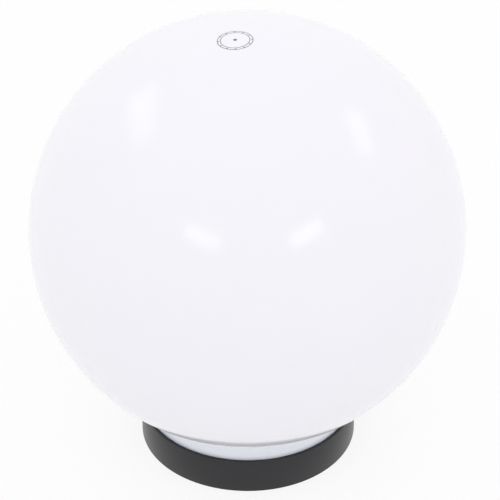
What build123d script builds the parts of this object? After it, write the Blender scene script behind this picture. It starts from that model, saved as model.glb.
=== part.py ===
"""Garden globe light.

An opal globe with a stepped neck drops into a black base cup and locks there with a
part-turn bayonet. Inside stand a bridge, a ceramic E27 lampholder with its LED bulb,
a terminal block and the leads between them.

Frame: millimetres, +Z up, the resting face on Z = 0, the globe's axis on Z and the
front at -Y. Radii are measured from that axis.
"""

from build123d import *
import os
from math import asin, cos, degrees, pi, radians, sin, sqrt, tan

os.makedirs("parts", exist_ok=True)

# ---------------------------------------------------------------------------
# Driving dimensions
# ---------------------------------------------------------------------------

# Globe
globe_d = 300.0
globe_wall = 2.5
neck_d = 150.0
neck_show = 12.9            # neck between the cup's rim and the sphere
neck_step = 3.0             # the spigot below the neck is this much smaller in radius
neck_fillet = 6.0           # hollow corner between neck and sphere
step_fillet = 0.8

# Base cup
base_h = 26.0
rim_gap = 0.5               # between the neck and the cup's wall
rim_wall = 2.0
base_draft = 0.3            # the foot is this much wider in radius than the rim
rim_round = 0.7
foot_round = 0.5
foot_recess = 3.0           # hollow below the floor
floor_t = 2.2
seat_z = 9.7                # top of the gasket seat
seat_t = 2.2
web_t = 2.0                 # upright ring inside the gasket seat
web_rise = 1.3
rib_count = 24
rib_t = 1.6
boss_foot = 0.6             # the inner bosses stop this far above the resting face

# Bayonet
lug_count = 4
lug_h = 3.0
lug_angle = 24.0
lug_inset = 1.0             # from the spigot's end up to the lugs
lip_angle = 60.0
lip_h = 3.0
lip_side_gap = 0.5
bayonet_gap = 0.4           # above the lugs and above the lips
stop_angle = 3.0
lock_turn = 40.0
stop_spare = 1.0            # degrees left between lug and stop when locked
stop_drop = 0.5             # the stops reach this far below the lugs

# Gasket and foam seal
gasket_t = 2.2
gasket_side_gap = 0.3
gasket_round = 0.4
gasket_gap = 0.2            # between the neck's end and the gasket
seal_t = 3.2
seal_side_gap = 0.2

# Fixing holes, drains and cable entry
fixing_pcd = 110.0
fixing_count = 3
fixing_start = 30.0
fixing_hole_d = 5.0
fixing_boss_d = 12.0
fixing_boss_rise = 1.4
drain_d = 4.0
drain_x = 24.0
drain_y = -44.0
cable_y = -34.0
cable_bore_d = 8.0
cable_hole_d = 16.0
grommet_lip = 2.5
grommet_lip_t = 1.5
grommet_round = 0.5
grommet_gap = 0.05

# Bridge
bridge_top = 23.5
bridge_half = 32.0          # half the plate's length
bridge_w = 18.0
bridge_t = 1.5
bridge_bend = 2.2           # middle radius of the bends
bridge_corner = 2.5
foot_hole_out = 13.0        # from the plate's end out to the foot's hole
foot_end_out = 7.0          # from that hole to the foot's end
foot_z = 9.0                # top of the bosses
foot_boss_d = 10.0
foot_screw_d = 2.9
foot_screw_hole_d = 3.4
foot_screw_len = 7.0
foot_head_d = 6.4
foot_head_h = 2.2
screw_slack = 0.05          # radial room round a screw in its thread

# Screw heads, as shares of the head's own size
head_round_share = 0.35
cross_len_share = 0.6
cross_w_share = 0.16
cross_depth_share = 0.5

# Lampholder
holder_d = 42.0
holder_upper_d = 37.0
holder_lower_h = 18.0
holder_floor_t = 14.0       # from the foot up to the contact chamber
holder_round = 1.2
chamber_d = 19.2
chamber_h = 6.5
shell_room = 0.55           # between the shell's thread and the ceramic
holder_screw_x = 15.5
holder_screw_d = 4.0
holder_screw_gap = 0.2
holder_screw_len = 10.5
holder_head_d = 7.6
holder_head_h = 2.6
nut_side = 7.0
nut_h = 3.0
nut_rise = 5.5              # from the holder's foot up to the nut
nut_gap = 0.25
nut_round = 0.5

# E27 thread
thread_pitch = 3.629
cap_d = 24.2                # cap, measured over the thread's root
cap_wall = 0.45
cap_rib = 1.0               # radius of the cap's rolled rib
thread_gap = 0.35
shell_wall = 0.35           # rolled sheet, so its ribs must stay under half a pitch
shell_h = 22.5
rib_start = 2.6             # from the cap's edge up to its rib
rib_turns = 4.2
rib_cover = 0.22            # turns by which a rib starts before the groove behind it
groove_lead = 0.71          # turns of the shell's groove below the cap's rib
groove_run_out = 1.36       # turns of the groove's cutter above the shell

# Shell rivets and centre contact
rivet_r = 11.1              # of the shell's rivets from the axis
rivet_d = 1.4
rivet_gap = 0.1
rivet_head_d = 2.3
rivet_head_h = 0.7
blind_rivet_len = 10.5      # of the rivet that has no terminal
blind_rivet_bore_d = 4.4
leaf_t = 0.5
leaf_w = 4.6
leaf_rise = 4.2             # top of the leaf above the chamber's floor
leaf_rivet_r = 7.0
leaf_rivet_angle = 143.0
leaf_flat = 2.6             # flat length past the rivet
leaf_crown = 1.7            # half the length of the leaf's raised end
leaf_tail = 1.6
leaf_tail_drop = 1.2
leaf_end = 1.8              # flat length outside the rivet
leaf_bend = 0.9
contact_gap = 0.3

# Lampholder terminals
terminal_x = 7.0
terminal_y = 13.2           # of the wire hole
terminal_w = 6.0
terminal_depth = 5.5
terminal_h = 6.6
strip_t = 0.8
strip_back = 2.9            # the strips start at this Y
pocket_gap = 0.5
pocket_rise = 2.0           # bottom of the pockets above the holder's foot
pocket_h = 9.0
wire_hole_d = 2.4
clamp_screw_d = 2.6
clamp_head_d = 4.2
clamp_head_h = 1.6
clamp_stand = 0.9           # the clamp screw's head stands off its terminal
clamp_gap = 0.05            # between a clamp screw and the conductor

# Terminal block
block_y = 38.0
block_pitch = 11.0
block_poles = 3
block_edge = 1.0            # plastic beyond the end poles
block_depth = 16.0
block_h = 13.0
block_pad = 1.0
block_round = 0.6
sleeve_d = 5.8
sleeve_bore_d = 3.0
sleeve_inset = 0.5
sleeve_rise = 4.5           # from the block's foot up to the sleeve's axis
sleeve_gap = 0.1
block_screw_d = 2.6
block_screw_y = 4.5
block_head_d = 3.6
block_head_h = 1.8
block_head_stand = 1.9      # the clamp screws' heads stand off the sleeves
well_gap = 0.3
fix_screw_d = 2.9
fix_screw_gap = 0.2
fix_head_d = 5.2
fix_head_h = 1.9
fix_sink = 3.0              # depth of the counterbore for the fixing screw's head
fix_screw_len = 13.5
block_boss_d = 7.0
fix_spare = 0.8             # pilot hole below the fixing screw's tip

# Leads
lead_d = 2.4
conductor_d = 1.0
conductor_in = 5.0          # bare length inside a terminal
lead_in = 1.0               # insulated length inside the block or the barrel
lead_gap = 0.3              # round the lead in the ceramic, and below its terminal
run_share = 0.45            # of the shorter run, taken up by an arc on each side
earth_x = 27.0
earth_screw_d = 4.0
earth_screw_len = 8.0
earth_head_d = 7.4
earth_head_h = 2.8
washer_d = 8.0
washer_t = 0.9
ring_d = 8.0
ring_t = 0.8
barrel_d = 3.8
barrel_len = 6.0
barrel_gap = 0.05
barrel_stand = 5.0          # from the screw's axis to the barrel's near end
washer_gap = 0.15

# Bulb
bulb_d = 60.0
bulb_h = 108.0
bulb_seam_drop = 12.0       # from the bulb's widest point down to the dome's edge
dome_wall = 1.4
housing_wall = 1.6
housing_neck_d = 28.6
housing_fillet = 30.0
shoulder_rise = 1.8         # from the cap's top up to the shoulder
shoulder_gap = 1.0          # between the shoulder and the lampholder
shoulder_round = 0.8
tip_h = 1.3
tip_d = 9.2
tip_round = 0.5
cap_lip_rise = 4.8          # from the tip's end up to the cap's lower lip
cap_lip_d = 20.0
cap_lip_h = 1.2
cap_h = 26.5
insulator_gap = 0.15
insulator_top_h = 1.4
insulator_foot_d = 11.2
plug_gap = 0.15
plug_depth = 8.5
board_t = 1.6
board_seat = 1.4            # width of the ledge under the board
board_gap = 0.2
board_drop = 2.4            # from the seam down to the board
chip_side = 3.0
chip_h = 0.8
chip_ring_d = 30.0
chip_ring_count = 12
chip_inner_d = 13.0
chip_inner_count = 5
driver_gap = 0.5
driver_t = 1.2
driver_drop = 4.0           # from the board down to the driver board
capacitor_d = 8.0
capacitor_h = 13.0
coil_side = 8.0
coil_h = 9.0
resistor_d = 2.4
resistor_len = 7.0
part_space = 2.0            # between parts on the driver board

# Cutting solids reach this far past what they cut
cutter_over = 10.0

# ---------------------------------------------------------------------------
# Derived sizes
# ---------------------------------------------------------------------------

globe_r = globe_d / 2
neck_r = neck_d / 2
spigot_r = neck_r - neck_step
wall_r = neck_r + rim_gap
rim_r = wall_r + rim_wall
foot_r = rim_r + base_draft
floor_z = foot_recess + floor_t

spigot_bore_r = spigot_r - globe_wall
gasket_r_in = spigot_bore_r - gasket_side_gap
gasket_r_out = wall_r - gasket_side_gap
web_r_out = gasket_r_in - gasket_side_gap
web_r_in = web_r_out - web_t
spigot_z = seat_z + gasket_t + gasket_gap
lug_z = spigot_z + lug_inset
lip_z = lug_z + lug_h + bayonet_gap
step_z = lip_z + lip_h + bayonet_gap
stop_z = lug_z - stop_drop
lip_start = 180 / lug_count
stop_start = -(lug_angle / 2 + lock_turn + stop_spare + stop_angle / 2)
lip_r = spigot_r + lip_side_gap
lug_r = wall_r - lip_side_gap
globe_z = base_h + neck_show + sqrt(globe_r**2 - neck_r**2)

fixing_r = fixing_pcd / 2
grommet_r = cable_hole_d / 2 + grommet_lip

foot_hole_x = bridge_half + foot_hole_out
foot_end_x = foot_hole_x + foot_end_out

chamber_z = bridge_top + holder_floor_t
ledge_z = chamber_z + chamber_h
leaf_top_z = chamber_z + leaf_rise
bulb_z = leaf_top_z + contact_gap
cap_lip_z = bulb_z + cap_lip_rise
cap_edge_z = cap_lip_z + cap_lip_h
cap_top_z = bulb_z + cap_h
shoulder_z = cap_top_z + shoulder_rise
holder_z = shoulder_z - shoulder_gap

cap_r = cap_d / 2
cap_bore_r = cap_r - cap_wall
shell_bore_r = cap_r + thread_gap
shell_groove = cap_rib + thread_gap
shell_r = shell_bore_r + shell_wall
shell_rib = shell_groove + shell_wall
shell_crest_r = cap_r + shell_rib
holder_bore_r = shell_crest_r + shell_room
rib_z = cap_edge_z + rib_start
shell_top_z = ledge_z + shell_h
groove_turns = groove_lead + (shell_top_z - rib_z) / thread_pitch + groove_run_out

pocket_z = bridge_top + pocket_rise
pocket_top_z = pocket_z + pocket_h
pocket_y = strip_back - pocket_gap
nut_pocket_x = holder_screw_x - nut_side / 2 - nut_gap
strip_z = pocket_top_z - strip_t
terminal_z = strip_z - terminal_h
terminal_y_in = terminal_y - terminal_depth / 2
terminal_y_out = terminal_y + terminal_depth / 2
shell_rivet_y = sqrt(rivet_r**2 - terminal_x**2)
blind_tail_z = ledge_z + shell_wall - blind_rivet_len
clamp_z = terminal_z + terminal_h / 2
clamp_len = clamp_stand + terminal_depth / 2 - conductor_d / 2 - clamp_gap
leaf_rivet_x = leaf_rivet_r * cos(radians(leaf_rivet_angle))
leaf_rivet_y = leaf_rivet_r * sin(radians(leaf_rivet_angle))

block_z = floor_z + block_pad
block_len = block_poles * block_pitch + 2 * block_edge
block_front_y = block_y - block_depth / 2
sleeve_z = block_z + sleeve_rise
block_top_z = block_z + block_h
block_head_z = sleeve_z + sleeve_d / 2 + block_head_stand
block_clamp_len = block_head_z - sleeve_z - conductor_d / 2 - clamp_gap
fix_screw_x = block_pitch / 2
fix_pilot = block_z - (block_top_z - fix_sink - fix_screw_len) + fix_spare

bulb_r = bulb_d / 2
bulb_top_z = bulb_z + bulb_h
bulb_mid_z = bulb_top_z - bulb_r
seam_z = bulb_mid_z - bulb_seam_drop
seam_r = sqrt(bulb_r**2 - bulb_seam_drop**2)
board_z = seam_z - board_drop
housing_neck_r = housing_neck_d / 2
cone_slope = bulb_seam_drop / seam_r          # radius gained per height, tangent to the dome
cone_z = seam_z - (seam_r - housing_neck_r) / cone_slope
plug_r = cap_bore_r - plug_gap
plug_z = cap_top_z - plug_depth
board_r = seam_r - board_drop * cone_slope - housing_wall - board_gap
driver_top_z = board_z - driver_drop
driver_half = plug_r - housing_wall - driver_gap

zero_origin = (0, 0)


# ---------------------------------------------------------------------------
# Shared sketches and pieces
# ---------------------------------------------------------------------------

def ring_sectors(inner, outer, width, count, start=0.0):
    """Sectors of a flat ring, each `width` degrees wide, the first centred on `start`."""
    reach = 2 * outer
    side = reach * sin(radians(width / 2))
    along = reach * cos(radians(width / 2))
    with BuildSketch() as sectors:
        with PolarLocations(0, count, start_angle=start):
            Polygon(zero_origin, (along, -side), (along, side), align=None)
        Circle(outer, mode=Mode.INTERSECT)
        Circle(inner, mode=Mode.SUBTRACT)
    return sectors.sketch


def pan_screw(place, shank_d, length, head_d, head_h):
    """A pan-head screw: `place` has its origin under the head and Z pointing out of it."""
    along = Axis(place.origin, place.z_dir)
    with BuildPart(place) as screw:
        Cylinder(head_d / 2, head_h, align=(Align.CENTER, Align.CENTER, Align.MIN))
        fillet(screw.edges().group_by(along)[-1], head_h * head_round_share)
        Cylinder(shank_d / 2, length, align=(Align.CENTER, Align.CENTER, Align.MAX))
        with BuildSketch(place.offset(head_h)):
            Rectangle(head_d * cross_len_share, head_d * cross_w_share)
            Rectangle(head_d * cross_w_share, head_d * cross_len_share)
        extrude(amount=-head_h * cross_depth_share, mode=Mode.SUBTRACT)
    return screw.part


def rivet(x, y, head_z, tail_z):
    """A rivet on Z: its head stands on `head_z` and its closed end lies below `tail_z`."""
    with BuildPart(Plane((x, y, head_z))) as piece:
        Cylinder(rivet_head_d / 2, rivet_head_h, align=(Align.CENTER, Align.CENTER, Align.MIN))
        Cylinder(rivet_d / 2, head_z - tail_z, align=(Align.CENTER, Align.CENTER, Align.MAX))
    with BuildPart(Plane((x, y, tail_z))) as closed_end:
        Cylinder(rivet_head_d / 2, rivet_head_h, align=(Align.CENTER, Align.CENTER, Align.MAX))
    with BuildPart() as whole:
        add(piece.part)
        add(closed_end.part)
    return whole.part


def thread_cord(radius, first_turn, turns):
    """A round cord along the E27 helix. Turns count from the start of the cap's rib."""
    with BuildPart() as cord:
        with BuildLine() as path:
            Helix(thread_pitch, turns * thread_pitch, cap_r)
        with BuildSketch(Plane(path.line @ 0, z_dir=path.line % 0)):
            Circle(radius)
        sweep(path=path.line, is_frenet=True)
    place = Location((0, 0, rib_z + first_turn * thread_pitch), (0, 0, first_turn * 360))
    return cord.part.moved(place)


def globe_region(inset):
    """Half section of the globe, filled to its axis and drawn `inset` inside its skin."""
    sphere = globe_r - inset
    neck = neck_r - inset
    spigot = spigot_r - inset
    joint_z = globe_z - sqrt(sphere**2 - neck**2)
    joint_angle = degrees(asin((joint_z - globe_z) / sphere))
    with BuildSketch(Plane.XZ) as region:
        with BuildLine():
            Polyline(
                (0, globe_z + sphere),
                (0, spigot_z),
                (spigot, spigot_z),
                (spigot, step_z + inset),
                (neck, step_z + inset),
                (neck, joint_z),
            )
            CenterArc((0, globe_z), sphere, joint_angle, 90 - joint_angle)
        make_face()
        fillet(region.vertices().sort_by_distance((neck, joint_z))[0], neck_fillet + inset)
        fillet(region.vertices().sort_by_distance((neck, step_z + inset))[0], step_fillet)
        fillet(region.vertices().sort_by_distance((spigot, step_z + inset))[0], step_fillet)
    return region.sketch


def arc_radii(points):
    """Radii of the tangent arcs at a route's corners, each as large as its two runs allow."""
    radii = []
    for before, corner, after in zip(points, points[1:], points[2:]):
        arriving = Vector(*corner) - Vector(*before)
        leaving = Vector(*after) - Vector(*corner)
        shorter = min(arriving.length, leaving.length)
        radii.append(run_share * shorter / tan(radians(arriving.get_angle(leaving) / 2)))
    return radii


def lead(points):
    """An insulated lead along a route of hand-chosen points."""
    radii = arc_radii(points)
    with BuildPart() as tube:
        with BuildLine() as path:
            FilletPolyline(*points, radius=radii)
        with BuildSketch(Plane(path.line @ 0, z_dir=path.line % 0)):
            Circle(lead_d / 2)
        sweep(path=path.line)
    drawn = pi * (lead_d / 2) ** 2 * path.wire().length
    print("lead: radii", [round(r, 1) for r in radii], "volume ratio",
          round(tube.part.volume / drawn, 4))
    return tube.part


def bare_end(start, direction):
    """The stripped end of a lead, from `start` along `direction`."""
    with BuildPart(Plane(start, z_dir=direction)) as end:
        Cylinder(conductor_d / 2, conductor_in, align=(Align.CENTER, Align.CENTER, Align.MIN))
    return end.part


# ---------------------------------------------------------------------------
# Globe and its gasket
# ---------------------------------------------------------------------------

with BuildPart() as globe:
    add(globe_region(0))
    revolve(axis=Axis.Z)
    add(globe_region(globe_wall))
    revolve(axis=Axis.Z, mode=Mode.SUBTRACT)
    with BuildSketch(Plane.XY.offset(lug_z)):
        add(ring_sectors(spigot_r - globe_wall / 2, lug_r, lug_angle, lug_count))
    extrude(amount=lug_h)
globe.part.label = "globe"
export_step(globe.part, "parts/globe.step")

with BuildPart() as globe_gasket:
    with BuildSketch(Plane.XY.offset(seat_z)):
        Circle(gasket_r_out)
        Circle(gasket_r_in, mode=Mode.SUBTRACT)
    extrude(amount=gasket_t)
    fillet(globe_gasket.edges().group_by(Axis.Z)[-1], gasket_round)
globe_gasket.part.label = "globe_gasket"
export_step(globe_gasket.part, "parts/globe_gasket.step")

# ---------------------------------------------------------------------------
# Base cup, foam seal and grommet
# ---------------------------------------------------------------------------

with BuildPart() as base_cup:
    # Floor, seat ring, wall and rim in one turned section
    with BuildSketch(Plane.XZ) as section:
        with BuildLine():
            Polyline(
                (0, foot_recess),
                (web_r_in, foot_recess),
                (web_r_in, 0),
                (web_r_out, 0),
                (web_r_out, seat_z - seat_t),
                (wall_r, seat_z - seat_t),
                (wall_r, 0),
                (foot_r, 0),
                (rim_r, base_h),
                (wall_r, base_h),
                (wall_r, seat_z),
                (web_r_out, seat_z),
                (web_r_out, seat_z + web_rise),
                (web_r_in, seat_z + web_rise),
                (web_r_in, floor_z),
                (0, floor_z),
                close=True,
            )
        make_face()
        fillet(section.vertices().sort_by_distance((rim_r, base_h))[0], rim_round)
        fillet(section.vertices().sort_by_distance((foot_r, 0))[0], foot_round)
    revolve(axis=Axis.Z)

    # Bayonet lips and the stops below them
    with BuildSketch(Plane.XY.offset(lip_z)):
        add(ring_sectors(lip_r, wall_r + rim_wall / 2, lip_angle, lug_count, lip_start))
    extrude(amount=lip_h)
    with BuildSketch(Plane.XY.offset(stop_z)):
        add(ring_sectors(lip_r, wall_r + rim_wall / 2, stop_angle, lug_count, stop_start))
    extrude(amount=lip_z - stop_z)

    # Ribs in the channel that holds the foam seal
    with BuildSketch(Plane.XY.offset(seal_t)):
        with PolarLocations((web_r_out + wall_r) / 2, rib_count):
            Rectangle(wall_r - web_r_out + min(web_t, rim_wall), rib_t)
    extrude(amount=seat_z - seat_t - seal_t)

    # Bosses for the fixing screws, the bridge and the terminal block
    with BuildSketch():
        with PolarLocations(fixing_r, fixing_count, start_angle=fixing_start):
            Circle(fixing_boss_d / 2)
    extrude(amount=floor_z + fixing_boss_rise)
    with BuildSketch(Plane.XY.offset(boss_foot)):
        with Locations((-foot_hole_x, 0), (foot_hole_x, 0)):
            Circle(foot_boss_d / 2)
    extrude(amount=foot_z - boss_foot)
    with BuildSketch(Plane.XY.offset(boss_foot)):
        with Locations((-fix_screw_x, block_y), (fix_screw_x, block_y)):
            Circle(block_boss_d / 2)
    extrude(amount=block_z - boss_foot)

    # Holes
    with PolarLocations(fixing_r, fixing_count, start_angle=fixing_start):
        Hole(fixing_hole_d / 2)
    with Locations((-foot_hole_x, 0, foot_z), (foot_hole_x, 0, foot_z)):
        Hole(foot_screw_d / 2 + screw_slack, depth=foot_screw_len)
    with Locations((-fix_screw_x, block_y, block_z), (fix_screw_x, block_y, block_z)):
        Hole(fix_screw_d / 2 + screw_slack, depth=fix_pilot)
    with Locations((0, cable_y)):
        Hole(cable_hole_d / 2)
    with Locations((-drain_x, drain_y), (drain_x, drain_y)):
        Hole(drain_d / 2)
base_cup.part.label = "base_cup"
export_step(base_cup.part, "parts/base_cup.step")

with BuildPart() as base_seal:
    with BuildSketch():
        Circle(wall_r - seal_side_gap)
        Circle(web_r_out + seal_side_gap, mode=Mode.SUBTRACT)
    extrude(amount=seal_t)
base_seal.part.label = "base_seal"
export_step(base_seal.part, "parts/base_seal.step")

with BuildPart() as cable_grommet:
    with BuildSketch(Plane.XZ.offset(-cable_y)) as section:
        with BuildLine():
            Polyline(
                (cable_bore_d / 2, foot_recess - grommet_lip_t),
                (grommet_r, foot_recess - grommet_lip_t),
                (grommet_r, foot_recess),
                (cable_hole_d / 2 - grommet_gap, foot_recess),
                (cable_hole_d / 2 - grommet_gap, floor_z),
                (grommet_r, floor_z),
                (grommet_r, floor_z + grommet_lip_t),
                (cable_bore_d / 2, floor_z + grommet_lip_t),
                close=True,
            )
        make_face()
        corner = (grommet_r, floor_z + grommet_lip_t)
        fillet(section.vertices().sort_by_distance(corner)[0], grommet_round)
    revolve(axis=Axis((0, cable_y, 0), (0, 0, 1)))
cable_grommet.part.label = "cable_grommet"
export_step(cable_grommet.part, "parts/cable_grommet.step")

# ---------------------------------------------------------------------------
# Bridge that carries the lampholder
# ---------------------------------------------------------------------------

with BuildPart() as lampholder_bracket:
    low = foot_z + bridge_t / 2
    high = bridge_top - bridge_t / 2
    leg_x = bridge_half - bridge_t / 2
    with BuildSketch(Plane.XZ):
        with BuildLine():
            FilletPolyline(
                (-foot_end_x, low),
                (-leg_x, low),
                (-leg_x, high),
                (leg_x, high),
                (leg_x, low),
                (foot_end_x, low),
                radius=bridge_bend,
            )
        trace(line_width=bridge_t)
    extrude(amount=bridge_w / 2, both=True)
    ends = lampholder_bracket.edges().filter_by(Axis.Z).group_by(Axis.X)
    fillet(ends[0] + ends[-1], bridge_corner)
    with Locations((-foot_hole_x, 0), (foot_hole_x, 0)):
        Hole(foot_screw_hole_d / 2)
    with Locations((-holder_screw_x, 0), (holder_screw_x, 0)):
        Hole(holder_screw_d / 2 + holder_screw_gap)
    with Locations((earth_x, 0)):
        Hole(earth_screw_d / 2 + screw_slack)
lampholder_bracket.part.label = "lampholder_bracket"
export_step(lampholder_bracket.part, "parts/lampholder_bracket.step")

with BuildPart() as bracket_screws:
    for x in (-foot_hole_x, foot_hole_x):
        place = Plane((x, 0, foot_z + bridge_t))
        add(pan_screw(place, foot_screw_d, foot_screw_len, foot_head_d, foot_head_h))
bracket_screws.part.label = "bracket_screws"
export_step(bracket_screws.part, "parts/bracket_screws.step")

# ---------------------------------------------------------------------------
# Lampholder
# ---------------------------------------------------------------------------

with BuildPart() as lampholder_body:
    holder_r = holder_d / 2
    upper_r = holder_upper_d / 2
    shelf_z = bridge_top + holder_lower_h
    with BuildSketch(Plane.XZ) as section:
        with BuildLine():
            Polyline(
                (0, bridge_top),
                (holder_r, bridge_top),
                (holder_r, shelf_z),
                (upper_r, shelf_z),
                (upper_r, holder_z),
                (holder_bore_r, holder_z),
                (holder_bore_r, ledge_z),
                (chamber_d / 2, ledge_z),
                (chamber_d / 2, chamber_z),
                (0, chamber_z),
                close=True,
            )
        make_face()
        for corner in ((holder_r, bridge_top), (holder_r, shelf_z), (upper_r, holder_z)):
            fillet(section.vertices().sort_by_distance(corner)[0], holder_round)
    revolve(axis=Axis.Z)

    # Terminal pockets, open at the back, and the wire holes below them
    with BuildSketch(Plane.XY.offset(pocket_z)):
        with Locations((-terminal_x, pocket_y), (terminal_x, pocket_y)):
            Rectangle(terminal_w + 2 * pocket_gap, holder_r, align=(Align.CENTER, Align.MIN))
    extrude(amount=pocket_h, mode=Mode.SUBTRACT)
    with Locations((-terminal_x, terminal_y, pocket_z), (terminal_x, terminal_y, pocket_z)):
        Hole(lead_d / 2 + lead_gap, depth=pocket_rise)

    # Screw holes from below and the side pockets for their nuts
    with BuildSketch(Plane.XY.offset(bridge_top + nut_rise - nut_gap)):
        with Locations((nut_pocket_x, 0)):
            Rectangle(holder_r, nut_side + 2 * nut_gap, align=(Align.MIN, Align.CENTER))
        with Locations((-nut_pocket_x, 0)):
            Rectangle(holder_r, nut_side + 2 * nut_gap, align=(Align.MAX, Align.CENTER))
    extrude(amount=nut_h + 2 * nut_gap, mode=Mode.SUBTRACT)
    with BuildSketch(Plane.XY.offset(bridge_top)):
        with Locations((-holder_screw_x, 0), (holder_screw_x, 0)):
            Circle(holder_screw_d / 2 + holder_screw_gap)
    extrude(amount=holder_screw_len - bridge_t + nut_gap, mode=Mode.SUBTRACT)

    # Rivet holes of the shell and the centre contact
    with Locations((terminal_x, shell_rivet_y, ledge_z)):
        Hole(rivet_d / 2 + rivet_gap, depth=ledge_z - pocket_top_z)
    with Locations((-terminal_x, -shell_rivet_y, ledge_z)):
        Hole(rivet_d / 2 + rivet_gap, depth=ledge_z - blind_tail_z)
    with BuildSketch(Plane.XY.offset(bridge_top)):
        with Locations((-terminal_x, -shell_rivet_y)):
            Circle(blind_rivet_bore_d / 2)
    extrude(amount=blind_tail_z - bridge_top, mode=Mode.SUBTRACT)
    with Locations((leaf_rivet_x, leaf_rivet_y, chamber_z)):
        Hole(rivet_d / 2 + rivet_gap, depth=chamber_z - pocket_top_z)
lampholder_body.part.label = "lampholder_body"
export_step(lampholder_body.part, "parts/lampholder_body.step")

with BuildPart() as shell_hollow:
    with BuildSketch(Plane.XY.offset(ledge_z + shell_wall)):
        Circle(shell_bore_r)
    extrude(amount=shell_h + cutter_over)
    add(thread_cord(shell_groove, -groove_lead, groove_turns))

with BuildPart() as lampholder_shell:
    with BuildSketch(Plane.XY.offset(ledge_z)):
        Circle(shell_r)
    extrude(amount=shell_h)
    add(thread_cord(shell_rib, -groove_lead - rib_cover, groove_turns))
    with BuildSketch(Plane.XY.offset(shell_top_z)):
        Circle(shell_crest_r + cutter_over)
    extrude(amount=shell_h, mode=Mode.SUBTRACT)
    add(shell_hollow.part, mode=Mode.SUBTRACT)
    with BuildSketch(Plane.XY.offset(ledge_z)):
        Circle(chamber_d / 2)
    extrude(amount=shell_wall, mode=Mode.SUBTRACT)
    with Locations((terminal_x, shell_rivet_y, ledge_z), (-terminal_x, -shell_rivet_y, ledge_z)):
        Cylinder(rivet_d / 2 + rivet_gap, shell_wall + cutter_over, mode=Mode.SUBTRACT)
lampholder_shell.part.label = "lampholder_shell"
export_step(lampholder_shell.part, "parts/lampholder_shell.step")

with BuildPart() as shell_rivets:
    add(rivet(terminal_x, shell_rivet_y, ledge_z + shell_wall, strip_z))
    add(rivet(-terminal_x, -shell_rivet_y, ledge_z + shell_wall, blind_tail_z))
shell_rivets.part.label = "shell_rivets"
export_step(shell_rivets.part, "parts/shell_rivets.step")

with BuildPart() as centre_contact:
    toward = Vector(leaf_rivet_x, leaf_rivet_y).normalized()
    side = Plane((0, 0, 0), x_dir=toward, z_dir=toward.cross(Vector(0, 0, 1)))
    leaf_low = chamber_z + leaf_t / 2
    leaf_high = leaf_top_z - leaf_t / 2
    with BuildSketch(side):
        with BuildLine():
            FilletPolyline(
                (leaf_rivet_r + leaf_end, leaf_low),
                (leaf_rivet_r - leaf_flat, leaf_low),
                (leaf_crown, leaf_high),
                (-leaf_crown, leaf_high),
                (-leaf_crown - leaf_tail, leaf_high - leaf_tail_drop),
                radius=leaf_bend,
            )
        trace(line_width=leaf_t)
    extrude(amount=leaf_w / 2, both=True)
    with Locations((leaf_rivet_x, leaf_rivet_y, leaf_low)):
        Cylinder(rivet_d / 2 + rivet_gap, leaf_t + cutter_over, mode=Mode.SUBTRACT)
centre_contact.part.label = "centre_contact"
export_step(centre_contact.part, "parts/centre_contact.step")

with BuildPart() as centre_contact_rivet:
    add(rivet(leaf_rivet_x, leaf_rivet_y, chamber_z + leaf_t, strip_z))
centre_contact_rivet.part.label = "centre_contact_rivet"
export_step(centre_contact_rivet.part, "parts/centre_contact_rivet.step")

with BuildPart() as lampholder_terminals:
    with BuildSketch(Plane.XY.offset(strip_z)):
        with Locations((-terminal_x, strip_back), (terminal_x, strip_back)):
            Rectangle(terminal_w, terminal_y_out - strip_back, align=(Align.CENTER, Align.MIN))
    extrude(amount=strip_t)
    with BuildSketch(Plane.XY.offset(terminal_z)):
        with Locations((-terminal_x, terminal_y), (terminal_x, terminal_y)):
            Rectangle(terminal_w, terminal_depth)
    extrude(amount=terminal_h)
    with BuildSketch(Plane.XY.offset(terminal_z)):
        with Locations((-terminal_x, terminal_y), (terminal_x, terminal_y)):
            Circle(wire_hole_d / 2)
    extrude(amount=terminal_h, mode=Mode.SUBTRACT)
    with BuildSketch(Plane.XZ.offset(-terminal_y)):
        with Locations((-terminal_x, clamp_z), (terminal_x, clamp_z)):
            Circle(clamp_screw_d / 2 + screw_slack)
    extrude(amount=-terminal_depth, mode=Mode.SUBTRACT)
    for x, y in ((terminal_x, shell_rivet_y), (leaf_rivet_x, leaf_rivet_y)):
        with Locations((x, y, strip_z)):
            Cylinder(rivet_d / 2 + rivet_gap, strip_t + cutter_over, mode=Mode.SUBTRACT)
lampholder_terminals.part.label = "lampholder_terminals"
export_step(lampholder_terminals.part, "parts/lampholder_terminals.step")

with BuildPart() as terminal_clamp_screws:
    for x in (-terminal_x, terminal_x):
        place = Plane((x, terminal_y_out + clamp_stand, clamp_z), z_dir=(0, 1, 0))
        add(pan_screw(place, clamp_screw_d, clamp_len, clamp_head_d, clamp_head_h))
terminal_clamp_screws.part.label = "terminal_clamp_screws"
export_step(terminal_clamp_screws.part, "parts/terminal_clamp_screws.step")

with BuildPart() as lampholder_screws:
    for x in (-holder_screw_x, holder_screw_x):
        place = Plane((x, 0, bridge_top - bridge_t), z_dir=(0, 0, -1))
        add(pan_screw(place, holder_screw_d, holder_screw_len, holder_head_d, holder_head_h))
lampholder_screws.part.label = "lampholder_screws"
export_step(lampholder_screws.part, "parts/lampholder_screws.step")

with BuildPart() as lampholder_nuts:
    with BuildSketch(Plane.XY.offset(bridge_top + nut_rise)):
        with Locations((-holder_screw_x, 0), (holder_screw_x, 0)):
            RectangleRounded(nut_side, nut_side, nut_round)
            Circle(holder_screw_d / 2 + screw_slack, mode=Mode.SUBTRACT)
    extrude(amount=nut_h)
lampholder_nuts.part.label = "lampholder_nuts"
export_step(lampholder_nuts.part, "parts/lampholder_nuts.step")

# ---------------------------------------------------------------------------
# Terminal block
# ---------------------------------------------------------------------------

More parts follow.
